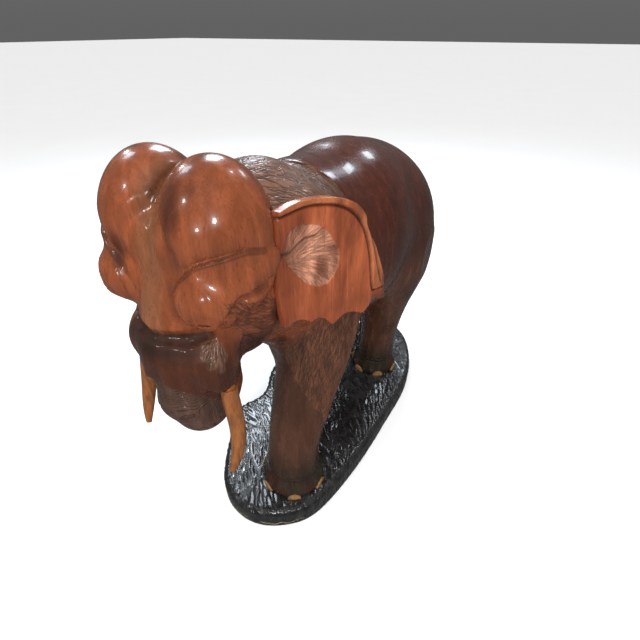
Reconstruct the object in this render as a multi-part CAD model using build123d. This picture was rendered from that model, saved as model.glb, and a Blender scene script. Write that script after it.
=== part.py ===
"""Carved wooden elephant walking on a low rock-shaped plinth.

The elephant faces -Y, its left side is +X and up is +Z. The origin is the centre of the
plinth's underside. The body is one carved block. Ears, tusks, eyes and toenails are let
into it, and four hidden dowels join its legs to the plinth. All lengths are millimetres.
"""
import os
from math import cos, pi, radians, sin

from build123d import *

# Driving dimensions.
PLINTH_HEIGHT = 45.0
PLINTH_TOP_ROUND = 14.0
PLINTH_FOOT_ROUND = 4.0
GLUE = 0.1                    # glue line left round every let-in piece
SOLE = PLINTH_HEIGHT + GLUE   # height of the elephant's soles

# Torso: position along the body, half width, belly height and back height.
TORSO = [
    (-186, 68, 402, 556),
    (-150, 86, 380, 586),
    (-105, 97, 342, 593),
    (-50, 108, 300, 579),
    (20, 122, 275, 571),
    (90, 130, 264, 571),
    (160, 140, 258, 563),
    (225, 138, 262, 541),
    (275, 110, 294, 503),
    (306, 70, 338, 458),
]
TORSO_BACK = (0, 321, 398)

# Head: centre and radii of each carved volume, for the middle or for the left side.
SKULL = ((0, -210, 482), (86, 74, 92))
FOREHEAD = ((0, -224, 530), (58, 54, 78))
DOME = ((42, -228, 545), (48, 58, 75))
CHEEK = ((48, -258, 508), (34, 32, 32))
JAW = ((0, -222, 407), (42, 36, 26))
SHEATH = [(36, -242, 472, 31), (41, -262, 440, 28), (50, -270, 418, 24), (58, -273, 398, 18)]
TRUNK = [
    (0, -215, 545, 24),
    (0, -236, 522, 34),
    (0, -250, 490, 40),
    (0, -262, 450, 41),
    (0, -273, 407, 38),
    (0, -275, 367, 34),
    (0, -265, 335, 31),
    (0, -244, 328, 28),
    (0, -228, 345, 25),
    (0, -226, 367, 22),
    (0, -230, 390, 20),
]
TRUNK_CURL = 7                # index of the station where the curl turns up

# Shoulder: centre and radii of the muscle that the left ear lies on.
SHOULDER = ((58, -132, 482), (43, 84, 78))

# Legs: radius at level stations from the ankle up into the torso.
FOOT_PROFILE = [(0, 53), (8, 57), (20, 56), (34, 49)]   # height above the sole, radius
FORE_FOOT_SIZE = 1.0
HIND_FOOT_SIZE = 0.89
LEG_STATION_RISE = 54.0       # height between one station and the next
FORE_LEG = [49, 45, 48, 52, 57, 58, 46]
HIND_LEG = [43, 41, 45, 54, 66, 72, 62]
LEGS = {
    "left_fore": dict(foot=(47, -140), hip=(54, -55), profile=FORE_LEG, size=FORE_FOOT_SIZE),
    "right_fore": dict(foot=(-58, 44), hip=(-58, -15), profile=FORE_LEG, size=FORE_FOOT_SIZE),
    "left_hind": dict(foot=(62, 212), hip=(70, 190), profile=HIND_LEG, size=HIND_FOOT_SIZE),
    "right_hind": dict(foot=(-68, 292), hip=(-70, 225), profile=HIND_LEG, size=HIND_FOOT_SIZE),
}
DOWEL_RADIUS = 7.0
DOWEL_REACH = 28.0            # into the leg, and the same into the plinth

# Toenails: half discs let into the front of each foot.
NAILS_PER_FOOT = 4
NAIL_SPACING = 57.0           # degrees round the foot
NAIL_TURN = 5.0               # degrees outward of straight ahead
NAIL_RADIUS = 12.0
NAIL_INSET = 6.0
NAIL_PROUD = 2.0

# Tail, carved lying against the rump.
TAIL = [
    (0, 268, 516, 9),
    (-3, 297, 486, 9),
    (-6, 317, 446, 8),
    (-9, 324, 400, 8),
    (-12, 317, 350, 8),
    (-16, 305, 305, 9),
    (-20, 296, 268, 10),
    (-22, 294, 238, 5),
]

# Tusks: centre line and radius outside the sheath, for the left side.
TUSK = [(61, -273, 402, 9.5), (66, -277, 374, 9.5), (71, -281, 346, 9), (73, -289, 318, 7.5), (70, -300, 291, 3.5)]
TUSK_TENON_RADIUS = 7.0
TUSK_TENON_LENGTH = 26.0
TUSK_SHOULDER_GAP = 0.6       # round the tusk where it leaves the sheath

# Eyes: round beads set low in the cheeks, for the left side.
EYE_CENTRE = (59, -282, 498)
EYE_GAZE = (0.75, -0.62, 0.2)   # direction that the bead faces
EYE_RADIUS = 7.0

# Ears, for the left side. The outline is seen from the side as (y, z) points.
EAR_CREST = [
    (-206, 574), (-185, 578), (-160, 576), (-135, 570), (-112, 559), (-97, 544), (-86, 520), (-73, 495),
    (-60, 466), (-49, 438), (-39, 406),
]
EAR_SCALLOPS = [(-39, 406), (-92, 410), (-142, 419), (-174, 439), (-209, 449)]
EAR_SCALLOP_DEPTH = 7.0
EAR_FRONT = (-214, 515)
EAR_ROOT_LINE = [(81, -225), (113, -125), (140, -30)]   # (x, y) of the ear's middle, from above
EAR_THICKNESS = 12.0
EAR_RIM_WIDTH = 10.0
EAR_RIM_PROUD = 3.0
EAR_LEAN = 3.0                # degrees, lower edge outward
EAR_MIDDLE_HEIGHT = 500.0
EAR_SEAT_DEPTH = 30.0         # room cleared outside the ear's middle
EAR_TENON = dict(x=(64, 86), y=(-206, -188), z=(485, 545))

# Plinth outline seen from above.
PLINTH_OUTLINE = [
    (8, -245), (42, -239), (77, -219), (104, -192), (125, -139), (137, -74), (145, 0), (150, 90),
    (154, 175), (148, 235), (130, 290), (98, 348), (50, 385), (-10, 394), (-70, 378), (-118, 334),
    (-147, 270), (-158, 190), (-152, 110), (-140, 48), (-122, 8), (-122, -26), (-137, -58), (-130, -98),
    (-104, -150), (-76, -197), (-50, -226), (-20, -241),
]


def ellipsoid(centre, radii):
    """A ball stretched to three radii."""
    return Pos(*centre) * scale(Sphere(1), by=radii)


def mirrored(shape):
    """The same shape on the elephant's right side."""
    return mirror(shape, about=Plane.YZ)


def round_sections(stations):
    """Circles at (x, y, z, radius) stations, square to their own path."""
    points = [Vector(*station[:3]) for station in stations]
    sections = []
    for index, station in enumerate(stations):
        before = points[max(index - 1, 0)]
        after = points[min(index + 1, len(points) - 1)]
        plane = Plane(points[index], x_dir=(1, 0, 0), z_dir=after - before)
        sections.append(plane * Circle(station[3]))
    return sections


def tube(stations):
    """A round limb lofted through (x, y, z, radius) stations."""
    return loft(round_sections(stations))


def trunk():
    """The trunk: one loft down to the curl, and one for the tip that curls up behind it."""
    sections = round_sections(TRUNK)
    return loft(sections[:TRUNK_CURL + 1]) + loft(sections[TRUNK_CURL:])


def torso():
    """Barrel, neck and rump as one smooth loft along the body."""
    sections = []
    for y, half_width, belly, back in TORSO:
        plane = Plane((0, y, (belly + back) / 2), x_dir=(1, 0, 0), z_dir=(0, 1, 0))
        sections.append(plane * Ellipse(half_width, (back - belly) / 2))
    return loft(sections + [Vertex(*TORSO_BACK)])


def foot_solid(foot, size):
    """The foot's turned bell shape, from the sole to the ankle."""
    rises = [rise for rise, _ in FOOT_PROFILE]
    rim = Spline(*[(radius * size, SOLE + rise) for rise, radius in FOOT_PROFILE])
    walls = Polyline(rim @ 1, (0, SOLE + rises[-1]), (0, SOLE), rim @ 0)
    section = make_face([rim] + walls.edges())
    return Pos(foot[0], foot[1], 0) * revolve(Plane.XZ * section, Axis.Z)


def leg(foot, hip, profile, size):
    """A leg on round level sections, leaning from its foot to its hip."""
    ankle = SOLE + FOOT_PROFILE[-1][0]
    sections = []
    for index, radius in enumerate(profile):
        lean = (1 - cos(pi * index / (len(profile) - 1))) / 2
        x = foot[0] + (hip[0] - foot[0]) * lean
        y = foot[1] + (hip[1] - foot[1]) * lean
        sections.append(Plane((x, y, ankle - GLUE + index * LEG_STATION_RISE)) * Circle(radius))
    return foot_solid(foot, size) + loft(sections)


def head():
    """Skull, twin domes, cheeks, tusk sheaths, jaw and curled trunk."""
    shape = trunk() + ellipsoid(*JAW) + ellipsoid(*SKULL) + ellipsoid(*FOREHEAD)
    for volume in (ellipsoid(*DOME), ellipsoid(*CHEEK), tube(SHEATH)):
        shape = shape + volume + mirrored(volume)
    return shape


def tusk_direction():
    """Unit vector from the tusk's root back up into the sheath."""
    return (Vector(*TUSK[0][:3]) - Vector(*TUSK[1][:3])).normalized()


def tusk_spot_face():
    """Flat-bottomed recess in the sheath's end that the tusk's shoulder sits in."""
    root = Vector(*TUSK[0][:3]) + tusk_direction() * GLUE
    return Plane(root, z_dir=-tusk_direction()) * Cylinder(
        TUSK[0][3] + TUSK_SHOULDER_GAP,
        TUSK_TENON_LENGTH,
        align=(Align.CENTER, Align.CENTER, Align.MIN),
    )


def tusk_tenon(clearance):
    """Round tenon at the tusk's root, or its socket when the clearance is not zero."""
    plane = Plane(Vector(*TUSK[0][:3]) - tusk_direction() * 2, z_dir=tusk_direction())
    return plane * Cylinder(
        TUSK_TENON_RADIUS + clearance,
        TUSK_TENON_LENGTH + 2 + clearance,
        align=(Align.CENTER, Align.CENTER, Align.MIN),
    )


def eye(clearance):
    """Round eye bead, or its socket when the clearance is not zero."""
    return Plane(EYE_CENTRE, z_dir=EYE_GAZE) * Sphere(EYE_RADIUS + clearance)


def box_between(x, y, z, clearance):
    """A box from its ranges, grown on every side by the clearance."""
    sides = [span[1] - span[0] + 2 * clearance for span in (x, y, z)]
    middle = [(span[0] + span[1]) / 2 for span in (x, y, z)]
    return Pos(*middle) * Box(*sides)


def nail_directions(name):
    """Angles of one foot's toenails from straight ahead, positive outward to +X."""
    turn = NAIL_TURN if name.startswith("left") else -NAIL_TURN
    first = -(NAILS_PER_FOOT - 1) / 2 * NAIL_SPACING
    return [turn + first + index * NAIL_SPACING for index in range(NAILS_PER_FOOT)]


def nail_blank(leg_name, angle, inner, outer, radius):
    """A lying disc on the foot's rim, between two distances from the foot's axis."""
    foot = LEGS[leg_name]["foot"]
    outward = Vector(sin(radians(angle)), -cos(radians(angle)), 0)
    start = Vector(foot[0], foot[1], SOLE) + outward * inner
    return Plane(start, z_dir=outward) * Cylinder(
        radius, outer - inner, align=(Align.CENTER, Align.CENTER, Align.MIN)
    )


def foot_radius(leg_name):
    """Widest radius of one foot."""
    return max(radius for _, radius in FOOT_PROFILE) * LEGS[leg_name]["size"]


def toenail(leg_name, angle):
    """One let-in toenail with a face that follows the foot's curve."""
    rim = foot_radius(leg_name)
    foot = LEGS[leg_name]["foot"]
    blank = nail_blank(leg_name, angle, rim - NAIL_INSET, rim + 2 * NAIL_PROUD, NAIL_RADIUS)
    face = Pos(foot[0], foot[1], SOLE) * Cylinder(
        rim + NAIL_PROUD, NAIL_RADIUS, align=(Align.CENTER, Align.CENTER, Align.MIN)
    )
    return blank & face


def toenail_pocket(leg_name, angle):
    """The pocket that one toenail is glued into."""
    rim = foot_radius(leg_name)
    return nail_blank(leg_name, angle, rim - NAIL_INSET - GLUE, rim + NAIL_INSET, NAIL_RADIUS + GLUE)


def dowel(leg_name, clearance):
    """Hidden dowel that joins one foot to the plinth."""
    foot = LEGS[leg_name]["foot"]
    return Pos(foot[0], foot[1], PLINTH_HEIGHT) * Cylinder(
        DOWEL_RADIUS + clearance, 2 * (DOWEL_REACH + clearance)
    )


def ear_outline():
    """Side view of the ear: smooth crest and rear edge, scalloped lower edge."""
    edges = [Spline(*EAR_CREST)]
    for start, end in zip(EAR_SCALLOPS, EAR_SCALLOPS[1:]):
        middle = ((start[0] + end[0]) / 2, (start[1] + end[1]) / 2 + EAR_SCALLOP_DEPTH)
        edges.append(ThreePointArc(start, middle, end))
    edges.append(ThreePointArc(EAR_SCALLOPS[-1], EAR_FRONT, EAR_CREST[0]))
    return make_face(edges)


def ear_shell(inside, outside):
    """Tall curved wall that the ear is cut from, between two offsets from its middle."""
    front, middle, rear = EAR_ROOT_LINE
    inner = ThreePointArc(*[(x + inside, y) for x, y in (front, middle, rear)])
    outer = ThreePointArc(*[(x + outside, y) for x, y in (front, middle, rear)])
    band = make_face([inner, outer, Line(inner @ 0, outer @ 0), Line(inner @ 1, outer @ 1)])
    height = 2 * (max(z for _, z in EAR_CREST) - EAR_MIDDLE_HEIGHT) + EAR_MIDDLE_HEIGHT / 4
    wall = extrude(band, amount=height / 2, both=True)
    return Pos(0, 0, EAR_MIDDLE_HEIGHT) * Rot(0, EAR_LEAN, 0) * wall


def ear_side(face):
    """A side-view face run out sideways past the ear."""
    side = Plane((0, 0, 0), x_dir=(0, 1, 0), z_dir=(1, 0, 0))
    return extrude(side * face, amount=2 * EAR_ROOT_LINE[-1][0])


def ear():
    """Ear blade with its folded rim, and the tenon that enters the side of the head."""
    fold = ear_outline() - Pos(-EAR_RIM_WIDTH, -EAR_RIM_WIDTH) * ear_outline()
    half = EAR_THICKNESS / 2
    blade = ear_side(ear_outline()) & ear_shell(-half, half)
    rim = ear_side(fold) & ear_shell(-half, half + EAR_RIM_PROUD)
    return blade + rim + box_between(**EAR_TENON, clearance=0)


def ear_seat():
    """What is cut from the head and shoulder so that the ear and its tenon fit."""
    half = EAR_THICKNESS / 2
    rebate = ear_side(offset(ear_outline(), GLUE)) & ear_shell(-half - GLUE, EAR_SEAT_DEPTH)
    return rebate + box_between(**EAR_TENON, clearance=GLUE)


def plinth():
    """Rock-shaped plinth with a rounded top edge."""
    block = extrude(make_face(Spline(*PLINTH_OUTLINE, periodic=True)), amount=PLINTH_HEIGHT)
    block = fillet(block.edges().group_by(Axis.Z)[-1], PLINTH_TOP_ROUND)
    block = fillet(block.edges().group_by(Axis.Z)[0], PLINTH_FOOT_ROUND)
    for name in LEGS:
        block -= dowel(name, GLUE)
    return block


def body():
    """The carved elephant without its let-in pieces."""
    shape = torso() + head() + tube(TAIL) + ellipsoid(*SHOULDER) + mirrored(ellipsoid(*SHOULDER))
    for name, shape_of_leg in LEGS.items():
        shape += leg(**shape_of_leg)
    for name in LEGS:
        shape -= dowel(name, GLUE)
        for angle in nail_directions(name):
            shape -= toenail_pocket(name, angle)
    for socket in (tusk_tenon(GLUE), tusk_spot_face(), eye(GLUE), ear_seat()):
        shape = shape - socket - mirrored(socket)
    return shape


def make_parts():
    """Every piece by name."""
    left_tusk = tube(TUSK) + tusk_tenon(0)
    left_eye = eye(0)
    left_ear = ear()
    parts = {
        "body": body(),
        "base": plinth(),
        "left_ear": left_ear,
        "right_ear": mirrored(left_ear),
        "left_tusk": left_tusk,
        "right_tusk": mirrored(left_tusk),
        "left_eye": left_eye,
        "right_eye": mirrored(left_eye),
    }
    for name in LEGS:
        parts[f"dowel_{name}"] = dowel(name, 0)
        for number, angle in enumerate(nail_directions(name), start=1):
            parts[f"toenail_{name}_{number}"] = toenail(name, angle)
    return parts


os.makedirs("parts", exist_ok=True)
for node, shape in make_parts().items():
    export_step(shape, f"parts/{node}.step")
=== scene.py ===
import math

import bpy
import numpy as np
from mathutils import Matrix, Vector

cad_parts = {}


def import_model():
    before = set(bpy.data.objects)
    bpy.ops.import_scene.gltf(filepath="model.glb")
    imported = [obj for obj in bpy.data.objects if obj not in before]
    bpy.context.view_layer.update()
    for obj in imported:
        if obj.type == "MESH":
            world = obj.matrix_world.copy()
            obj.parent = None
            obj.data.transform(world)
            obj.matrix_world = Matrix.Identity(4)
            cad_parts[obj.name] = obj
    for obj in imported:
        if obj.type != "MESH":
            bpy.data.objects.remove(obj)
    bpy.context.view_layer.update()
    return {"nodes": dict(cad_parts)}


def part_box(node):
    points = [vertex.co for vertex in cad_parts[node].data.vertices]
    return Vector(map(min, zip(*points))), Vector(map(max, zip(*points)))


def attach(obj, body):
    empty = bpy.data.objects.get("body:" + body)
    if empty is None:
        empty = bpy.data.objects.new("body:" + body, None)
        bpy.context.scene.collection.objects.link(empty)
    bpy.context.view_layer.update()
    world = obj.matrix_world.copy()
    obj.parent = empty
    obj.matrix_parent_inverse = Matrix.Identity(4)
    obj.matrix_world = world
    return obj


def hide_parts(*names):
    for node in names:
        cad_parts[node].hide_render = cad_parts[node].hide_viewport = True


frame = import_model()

import openvdb
from mathutils import Vector

MM = 0.001

# Mesh fineness, in millimetres.
BODY_VOXEL = 2.6
EAR_VOXEL = 1.5
PLINTH_VOXEL = 2.2

# --- Driving dimensions of the sculpture ---

LEGS = ("left_fore", "right_fore", "left_hind", "right_hind")
HIPS = {"left_fore": (54, -55), "right_fore": (-58, -15), "left_hind": (70, 190), "right_hind": (-70, 225)}
ANKLE_RISE = 34.0
LEG_STATION_RISE = 54.0
FORE_LEG = (48, 45, 48, 52, 57, 58, 46)
HIND_LEG = (43, 41, 45, 54, 66, 70, 52)
ANKLE_CREASES = ((35.0, 1.6, 1.0), (44.0, 1.2, 0.55))   # rise, half width and share of depth
FORE_FOOT_RADIUS = 57.0
HIND_FOOT_RADIUS = 50.7

BARREL = ((0, 90, 420), (128, 190, 150))
RUMP = ((0, 195, 402), (140, 124, 146))
CHEST = ((0, -40, 430), (108, 130, 140))
HUMP = ((0, -125, 480), (88, 100, 110))
SHOULDER = ((58, -132, 482), (42, 84, 78))

SKULL = ((0, -210, 482), (86, 74, 92))
FOREHEAD = ((0, -224, 530), (46, 54, 72))
DOME = ((36, -228, 545), (54, 58, 75))
JAW = ((0, -222, 407), (42, 36, 26))
JAW_SIDE = ((26, -236, 440, 24), (30, -247, 418, 21), (28, -248, 394, 20), (22, -248, 368, 18))
CHEEK = ((84, -212, 536, 10), (67, -240, 520, 25), (50, -262, 509, 34))
SHEATH = ((34, -246, 470, 30), (37, -263, 440, 26), (48, -271, 414, 20))
COLLAR = ((8, -268, 434, 42), (35, -267, 434, 32))
TRUNK = (
    (0, -215, 545, 24), (0, -236, 522, 34), (0, -250, 490, 40), (0, -262, 450, 41), (0, -273, 407, 38),
    (0, -275, 367, 34), (0, -265, 335, 31), (0, -244, 328, 28), (0, -228, 345, 25), (0, -226, 367, 22),
    (0, -230, 390, 20),
)
# Creases of the head's left side, laid on its surface: (x, y, z, radius) stations.
BROW_LEDGE = (
    (92, -230, 549, 2), (86, -250, 555, 5), (78, -266, 554, 6), (66, -279, 551, 7), (56, -284, 547, 7),
    (46, -286, 539, 6), (34, -284, 525, 4), (28, -284, 514, 2),
)
CHEEK_CREASE = (
    (0, -303, 469, 5), (10, -302, 469, 6), (32, -289, 467, 7), (50, -280, 472, 7), (60, -276, 481, 6),
    (73, -275, 498, 4), (80, -267, 507, 4), (85, -262, 514, 4), (91, -248, 517, 4), (92, -230, 517, 5),
)
DOME_VALLEY = ((6, -268, 578, 4), (20, -276, 566, 5), (30, -282, 552, 5), (30, -284, 535, 4))
MEDIAN_CREASE = (
    (0, -190, 600, 2), (0, -228, 604, 3), (0, -244, 602, 3), (0, -262, 590, 3), (0, -276, 570, 2),
)
JAW_CREASE = ((62, -240, 458, 3), (66, -250, 440, 4), (66, -256, 420, 5), (58, -262, 396, 4))
TRUNK_LIP = (418.0, -314.0, 1.18)   # height at the front, its y, and fall per mm towards the throat
SHEATH_PATCH = (58, -280, 452)
NECK_EDGE = ((0, -49), (20, -45), (54, -39), (71, -35), (82, -26), (94, -8), (110, -10))   # (|x|, y)
TAIL = (
    (0, 268, 516, 9), (-3, 297, 486, 9), (-6, 317, 446, 8), (-9, 324, 400, 8), (-12, 317, 350, 8),
    (-16, 305, 305, 9), (-20, 296, 268, 10), (-22, 294, 242, 6),
)

# Side views of the left ear, as (y, z) points.
EAR_CREST = (
    (-206, 574), (-185, 578), (-160, 576), (-135, 570), (-112, 559), (-97, 544), (-86, 520), (-73, 495),
    (-60, 466), (-49, 438), (-39, 406),
)
EAR_SCALLOPS = ((-39, 406), (-92, 410), (-142, 419), (-174, 439), (-209, 449))
EAR_FRONT = ((-209, 449), (-213, 483), (-214, 515), (-211, 548), (-206, 574))
EAR_PATCH = (
    (-207, 531), (-199, 551), (-187, 556), (-169, 552), (-152, 542), (-138, 524), (-132, 505), (-137, 489),
    (-149, 480), (-166, 482), (-184, 498), (-196, 514), (-207, 531),
)
EAR_FOLD = (
    (-205, 569), (-176, 571), (-152, 567), (-132, 560), (-116, 550), (-103, 536), (-93, 518), (-86, 496),
    (-81, 470), (-78, 447), (-73, 436), (-60, 433), (-50, 431),
)
EAR_SPLIT = ((-96, 539), (-83, 511), (-74, 485), (-66, 460), (-58, 436))
EAR_PARTING = ((-212, 534), (-196, 531), (-186, 535), (-174, 539), (-162, 538), (-154, 543))
EAR_HALF = 6.0
EAR_HOLE = (-202.0, 529.0)

# What the brow's ledge looks like: which way the cheek faces, how deep its edge is as a share
# of the ledge's radii, and how far below the edge the surface comes back.
CHEEK_FACING = (0.6, -0.8, 0.0)
BROW_DEPTH = 0.8
BROW_FALL = 8.0

# Depths of the carving at its deepest.
HAIR_CUT = 0.7
RING_CUT = 0.9
RING_PITCH = 3.8
TRUNK_DROP = 5.0
EYE_CUT = 0.6
ANKLE_CUT = 1.6
NECK_DROP = 2.2
EAR_HAIR_CUT = 0.9
GOUGE_CUT = 1.5

# The plinth's gouge cuts, in patches that each slant their own way.
GOUGE_PATCH = 46.0
GOUGE_LENGTH = 27.0
GOUGE_HALF_WIDTH = 3.4
GOUGE_SPACE = 7.0 * 16.0            # area of plinth for each cut
GOUGE_ON_WALL = (0.25, 0.0, 1.0)    # way the cuts run on the plinth's steep edge

# Lamps: place, what it faces, size and power. The round spots and the cool windows show as
# highlights in the polish; the key lamp only lights.
HEAD_SPOT = (0.0, -0.2, 0.5)
SPOTS = (
    ((1.45, -1.43, 1.45), HEAD_SPOT, (0.26,), 10.0),
    ((0.56, -2.13, 1.11), HEAD_SPOT, (0.20,), 6.0),
    ((-0.63, -1.62, 1.90), HEAD_SPOT, (0.15,), 4.0),
    ((-1.64, 0.29, 1.56), HEAD_SPOT, (0.14,), 4.0),
    ((0.33, 1.14, 2.04), HEAD_SPOT, (0.12,), 3.0),
)
WINDOWS = (
    ((-0.9, 1.15, 1.75), (0.0, 0.0, 0.3), (0.5, 0.9), 24.0),
    ((-1.15, -0.05, 1.75), (0.0, -0.2, 0.1), (0.35, 0.4), 5.0),
    ((0.15, 2.0, 1.7), (0.0, 0.0, 0.1), (0.34, 0.28), 4.2),
)
KEY = ((1.2, -1.6, 1.6), (0.0, -0.1, 0.35), (1.0, 1.0), 8.0)
WHITE = (1.0, 1.0, 1.0)
COOL = (0.8, 0.9, 1.0)


# --- Reading the frame ---

def node_box(name):
    """Lowest and highest corner of a CAD node, in millimetres."""
    low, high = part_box(name)
    return np.array(low) / MM, np.array(high) / MM


def node_middle(name):
    """Middle of a CAD node's box, in millimetres."""
    low, high = node_box(name)
    return (low + high) / 2


SOLE = node_box("base")[1][2] + 0.1
FEET = {name: tuple(node_middle("dowel_" + name)[:2]) for name in LEGS}
EYE = node_middle("left_eye")


# --- Shapes as signed distances ---

def ellipsoid(p, centre, radii):
    """Signed distance to an ellipsoid, near enough for sculpting."""
    q = p - np.array(centre, np.float32)
    r = np.array(radii, np.float32)
    near = np.sqrt(((q / r) ** 2).sum(1)) + 1e-6
    far = np.sqrt(((q / (r * r)) ** 2).sum(1)) + 1e-9
    return near * (near - 1.0) / far


def nearest_on(p, a, b):
    """Share along the line between two stations nearest each point, the way from there, and the line."""
    start = np.array(a[:3], np.float32)
    run = np.array(b[:3], np.float32) - start
    share = np.clip(((p - start) @ run) / float(run @ run), 0.0, 1.0)
    return share, p - start - share[:, None] * run, run


def cone(p, a, b):
    """Signed distance to a round-ended cone between two (x, y, z, radius) stations."""
    share, off, _ = nearest_on(p, a, b)
    return np.sqrt((off * off).sum(1)) - (a[3] + (b[3] - a[3]) * share)


def join(a, b, blend):
    """Union of two shapes with a soft fillet of about the blend's size."""
    share = np.clip(0.5 + 0.5 * (b - a) / blend, 0.0, 1.0)
    return b + (a - b) * share - blend * share * (1.0 - share)


def carve(shape, cutter, blend):
    """The shape with the cutter taken away, edges softened by the blend."""
    return -join(-shape, cutter, blend)


def limb(p, stations, blend):
    """A chain of round-ended cones."""
    shape = cone(p, stations[0], stations[1])
    for a, b in zip(stations[1:], stations[2:]):
        shape = join(shape, cone(p, a, b), blend)
    return shape


def both_sides(p):
    """The points folded onto the elephant's left side."""
    folded = p.copy()
    folded[:, 0] = np.abs(folded[:, 0])
    return folded


def step(value, low, high):
    """0 below low, 1 above high, smooth between."""
    share = np.clip((value - low) / (high - low), 0.0, 1.0)
    return share * share * (3.0 - 2.0 * share)


def fade(value, low, high):
    """1 below low, 0 above high, smooth between."""
    return 1.0 - step(value, low, high)


def lattice(ix, iy, iz, seed):
    """A repeatable random value from 0 to 1 for each whole-numbered lattice point."""
    key = (ix * 73856093) ^ (iy * 19349663) ^ (iz * 83492791) ^ (seed * 2654435761)
    key = (key ^ (key >> 13)) * 1274126177
    key = (key ^ (key >> 16)) & 0xFFFFFF
    return key.astype(np.float32) / 0xFFFFFF


def noise(p, size, seed=0):
    """Smooth noise from -1 to 1, with features of one size or of a size along each axis."""
    q = p / np.array(size, np.float32)
    whole = np.floor(q).astype(np.int64)
    part = q - whole
    part = part * part * (3.0 - 2.0 * part)
    total = np.zeros(len(p), np.float32)
    for dx in (0, 1):
        wx = part[:, 0] if dx else 1.0 - part[:, 0]
        for dy in (0, 1):
            wy = part[:, 1] if dy else 1.0 - part[:, 1]
            for dz in (0, 1):
                wz = part[:, 2] if dz else 1.0 - part[:, 2]
                total += wx * wy * wz * lattice(whole[:, 0] + dx, whole[:, 1] + dy, whole[:, 2] + dz, seed)
    return 2.0 * total - 1.0


# --- The elephant's body as one shape ---

def spline_through(points, steps):
    """A smooth curve through the given side-view points."""
    given = np.array(points, float)
    padded = np.vstack([2 * given[0] - given[1], given, 2 * given[-1] - given[-2]])
    curve = []
    for a, b, c, d in zip(padded, padded[1:], padded[2:], padded[3:]):
        for index in range(steps):
            t = index / steps
            bend = (2 * a - 5 * b + 4 * c - d) * t * t + (3 * b - a - 3 * c + d) * t ** 3
            curve.append(0.5 * (2 * b + (c - a) * t + bend))
    return curve


def leg_path(name):
    """Heights of one leg's level sections, with the x, y and radius of each."""
    foot = FEET[name]
    hip = HIPS[name]
    radii = FORE_LEG if name.endswith("fore") else HIND_LEG
    steps = np.linspace(0.0, len(radii) - 1.0, 6 * (len(radii) - 1) + 1)
    lean = (1.0 - np.cos(math.pi * steps / (len(radii) - 1))) / 2.0
    x = foot[0] + (hip[0] - foot[0]) * lean
    y = foot[1] + (hip[1] - foot[1]) * lean
    around = spline_through([(index, radius) for index, radius in enumerate(radii)], 6)
    radius = np.array([point[1] for point in around] + [radii[-1]])
    return SOLE + ANKLE_RISE + steps * LEG_STATION_RISE, x, y, radius


def leg_axis(name, z):
    """X, y and radius of one leg at each height."""
    heights, x, y, radius = leg_path(name)
    return tuple(np.interp(z, heights, values).astype(np.float32) for values in (x, y, radius))


def foot_radius(name):
    """Widest radius of one foot's bell."""
    return FORE_FOOT_RADIUS if name.endswith("fore") else HIND_FOOT_RADIUS


def away_from_foot(p, name):
    """Level distance from the middle of one foot."""
    return np.hypot(p[:, 0] - FEET[name][0], p[:, 1] - FEET[name][1])


def leg(p, name):
    """One leg with its bell-shaped foot, cut flat at the sole."""
    foot = FEET[name]
    size = foot_radius(name)
    x, y, radius = leg_axis(name, p[:, 2])
    top = SOLE + ANKLE_RISE + (len(FORE_LEG) - 1) * LEG_STATION_RISE
    cap = ellipsoid(p, (*HIPS[name], top - 20.0), (48.0, 48.0, 34.0))
    shape = 0.94 * (np.hypot(p[:, 0] - x, p[:, 1] - y) - radius)
    shape = join(np.maximum(shape, p[:, 2] - top + 20.0), cap, 12.0)
    bell = ellipsoid(p, (foot[0], foot[1], SOLE + 9.0), (size, size, 31.0))
    shape = join(shape, bell, 8.0)
    return np.maximum(shape, SOLE - p[:, 2])


def head_block(p):
    """Twin domes, skull, tusk sheaths, jaw and curled trunk, without their creases."""
    side = both_sides(p)
    shape = ellipsoid(side, *DOME)
    shape = join(shape, ellipsoid(p, *FOREHEAD), 6.0)
    shape = join(shape, ellipsoid(p, *SKULL), 16.0)
    trunk = limb(p, TRUNK, 14.0)
    sheath = join(limb(side, SHEATH, 8.0), limb(side, COLLAR, 8.0), 10.0)
    shape = join(shape, join(trunk, sheath, 12.0), 10.0)
    shape = join(shape, ellipsoid(p, *JAW), 8.0)
    return join(shape, limb(side, JAW_SIDE, 8.0), 3.0)


def head_masses(p):
    """The head with its cheeks, without creases."""
    return join(head_block(p), limb(both_sides(p), CHEEK, 12.0), 5.0)


def laid_on(shape, stations, lift):
    """The stations moved onto a shape's surface and lifted off it by a share of their radius."""
    places = np.array([station[:3] for station in stations], np.float32)
    slopes = np.zeros_like(places)
    for _ in range(12):
        miss = shape(places)
        for axis in range(3):
            nudge = np.zeros(3, np.float32)
            nudge[axis] = 0.5
            slopes[:, axis] = shape(places + nudge) - shape(places - nudge)
        slopes /= np.linalg.norm(slopes, axis=1, keepdims=True) + 1e-6
        places = places - slopes * miss[:, None]
    radii = np.array([station[3] for station in stations])
    places = places + slopes * (lift * radii)[:, None]
    return tuple((*place, radius) for place, radius in zip(places, radii))


BROW_LINE = laid_on(head_block, BROW_LEDGE, 0.0)
CHEEK_CUT = laid_on(head_masses, CHEEK_CREASE, 0.1)
VALLEY_CUT = laid_on(head_block, DOME_VALLEY, 0.75)
MEDIAN_CUT = laid_on(head_block, MEDIAN_CREASE, 0.2)
JAW_CUT = laid_on(head_masses, JAW_CREASE, 0.1)


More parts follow.
